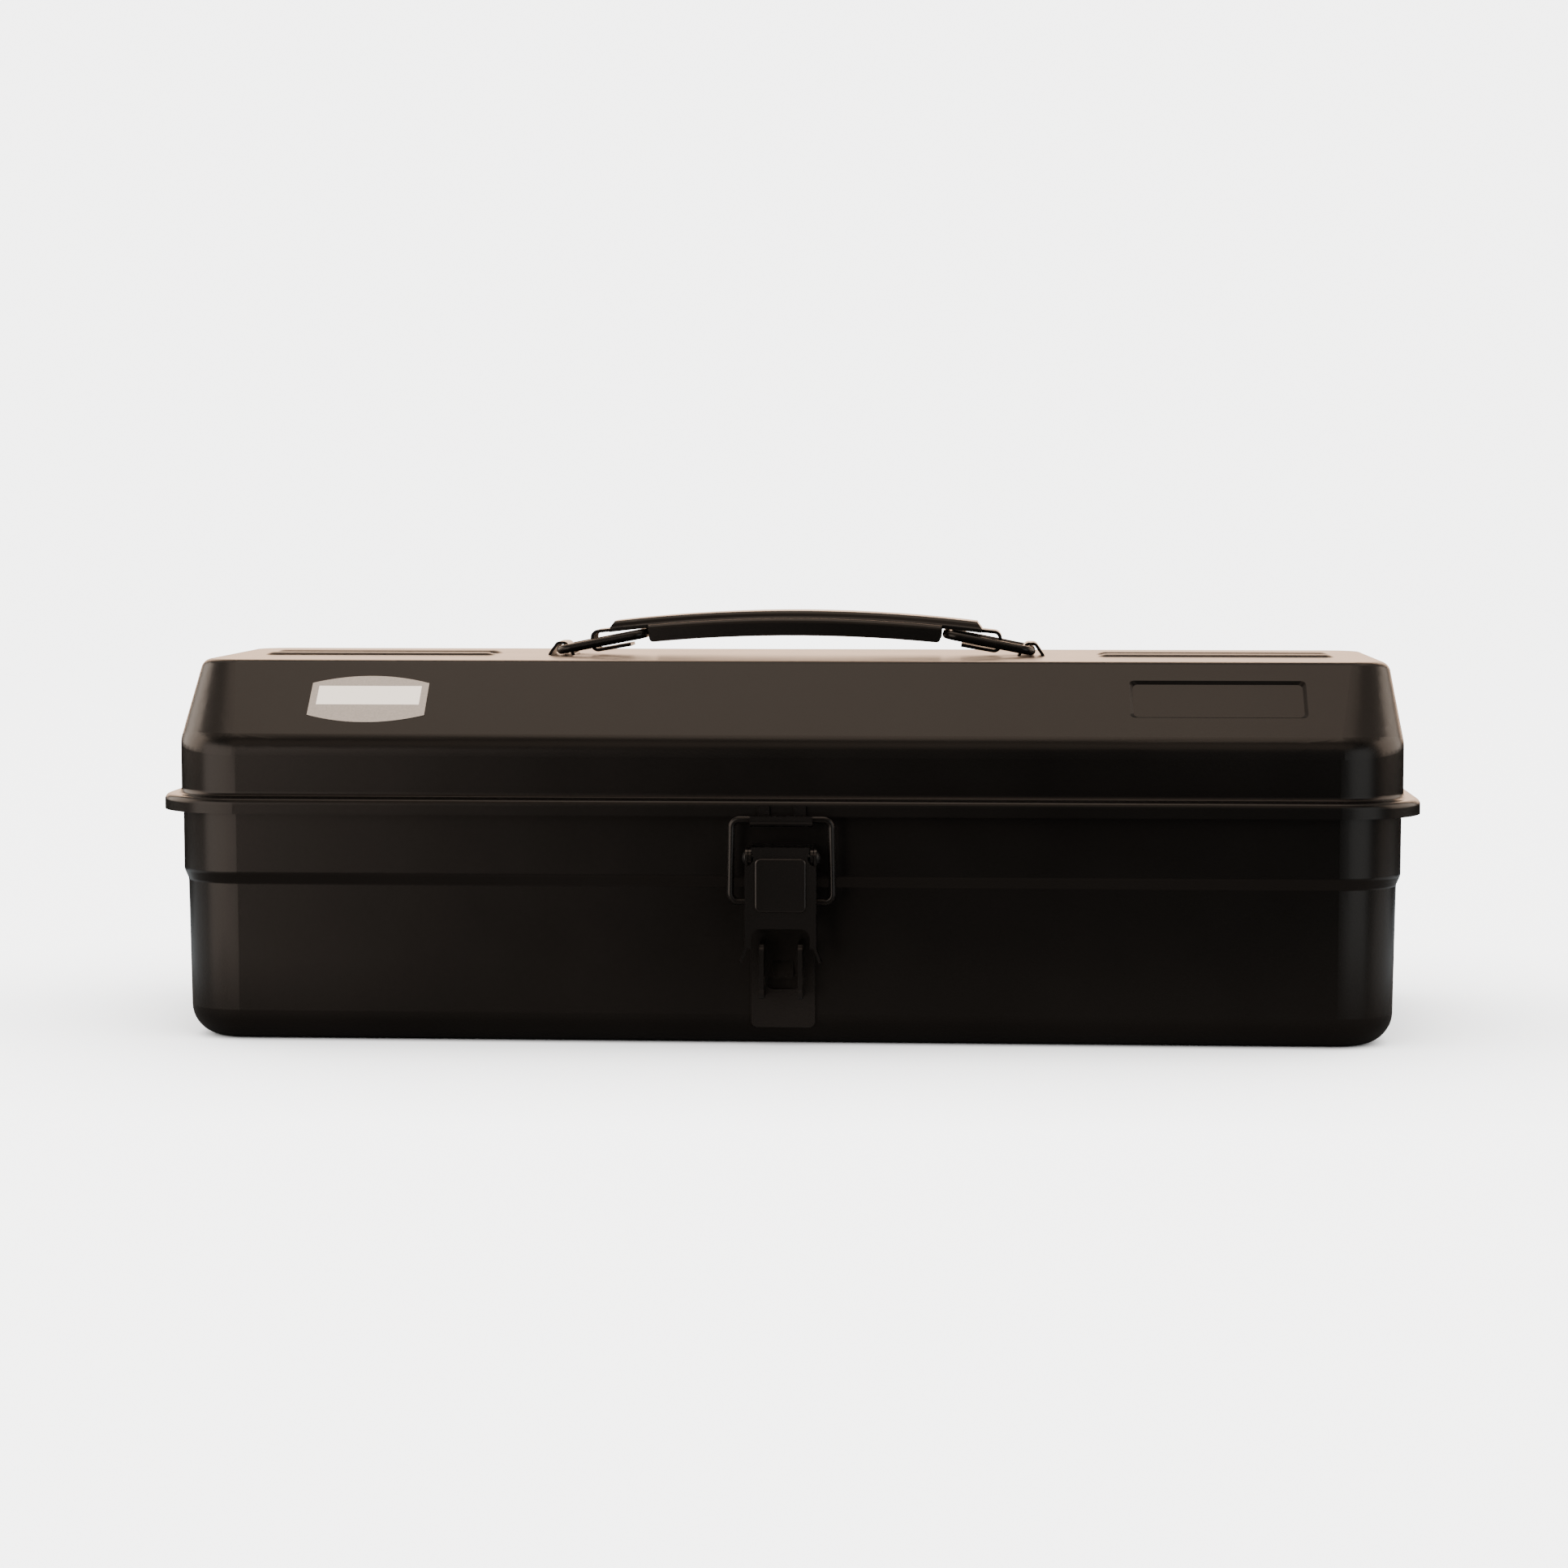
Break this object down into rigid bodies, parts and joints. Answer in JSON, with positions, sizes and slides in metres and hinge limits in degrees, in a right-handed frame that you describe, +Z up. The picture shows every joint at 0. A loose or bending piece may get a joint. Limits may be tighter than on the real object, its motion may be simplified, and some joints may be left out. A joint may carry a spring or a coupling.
{
  "type": "tool box",
  "caption": "Camber-top pressed-steel tool box with hinged lid, folding handle on wire rings, draw latch with padlock ears and a lift-out tray.",
  "frame": {"origin": "centre of the flat bottom face that the box stands on", "axes": "+X along the box to the right as seen from the latch, +Y towards the hinges, +Z up"},
  "size_m": [0.373, 0.1643, 0.1261],
  "materials": {
    "black_paint": "satin black baked paint",
    "black_wire": "satin black coated wire",
    "dark_pin": "blackened steel",
    "silver_label": "satin foil"
  },
  "bodies": {
    "body": {"body_shell": "black_paint", "latch_base": "black_paint", "latch_pivot_pin": "dark_pin", "hinge_body_leaf_left": "black_paint", "hinge_body_leaf_right": "black_paint", "hinge_pin_left": "dark_pin", "hinge_pin_right": "dark_pin"},
    "lid": {"lid_shell": "black_paint", "label": "silver_label", "latch_strike": "black_paint", "handle_lug_left": "black_paint", "handle_lug_right": "black_paint", "hinge_lid_leaf_left": "black_paint", "hinge_lid_leaf_right": "black_paint"},
    "tray": {"inner_tray": "black_paint"},
    "handle": {"handle_grip": "black_paint"},
    "ring_left": {"handle_ring_left": "black_wire"},
    "ring_right": {"handle_ring_right": "black_wire"},
    "lever": {"latch_lever": "black_paint"},
    "bail": {"latch_bail": "black_wire"}
  },
  "joints": [
    {"name": "lid_hinge", "type": "hinge", "parent": "body", "child": "lid", "pos_m": [0, 0.0782, 0.0665], "axis": [-1, 0, 0], "range_deg": [0, 105]},
    {"name": "handle_lift", "type": "slide", "parent": "lid", "child": "handle", "axis": [0, 0, 1], "range_m": [0, 0.0155]},
    {"name": "ring_left_swing", "type": "hinge", "parent": "lid", "child": "ring_left", "pos_m": [-0.0726, 0, 0.11385], "axis": [0, -1, 0], "range_deg": [0, 34.3]},
    {"name": "ring_right_swing", "type": "hinge", "parent": "lid", "child": "ring_right", "pos_m": [0.0726, 0, 0.11385], "axis": [0, 1, 0], "range_deg": [0, 34.3]},
    {"name": "latch_lever", "type": "hinge", "parent": "body", "child": "lever", "pos_m": [0, -0.079, 0.0566], "axis": [-1, 0, 0], "range_deg": [0, 130]},
    {"name": "latch_bail", "type": "hinge", "parent": "lever", "child": "bail", "pos_m": [0, -0.0781, 0.0437], "axis": [-1, 0, 0], "range_deg": [-149.6, 0]},
    {"name": "tray_lift", "type": "slide", "parent": "body", "child": "tray", "axis": [0, 0, 1], "range_m": [0, 0.018]}
  ],
  "couplings": [
    {"joint": "ring_left_swing", "follows": "handle_lift", "rad_per_m": 38.61},
    {"joint": "ring_right_swing", "follows": "handle_lift", "rad_per_m": 38.61},
    {"joint": "latch_bail", "follows": "latch_lever", "ratio": -1.15}
  ]
}
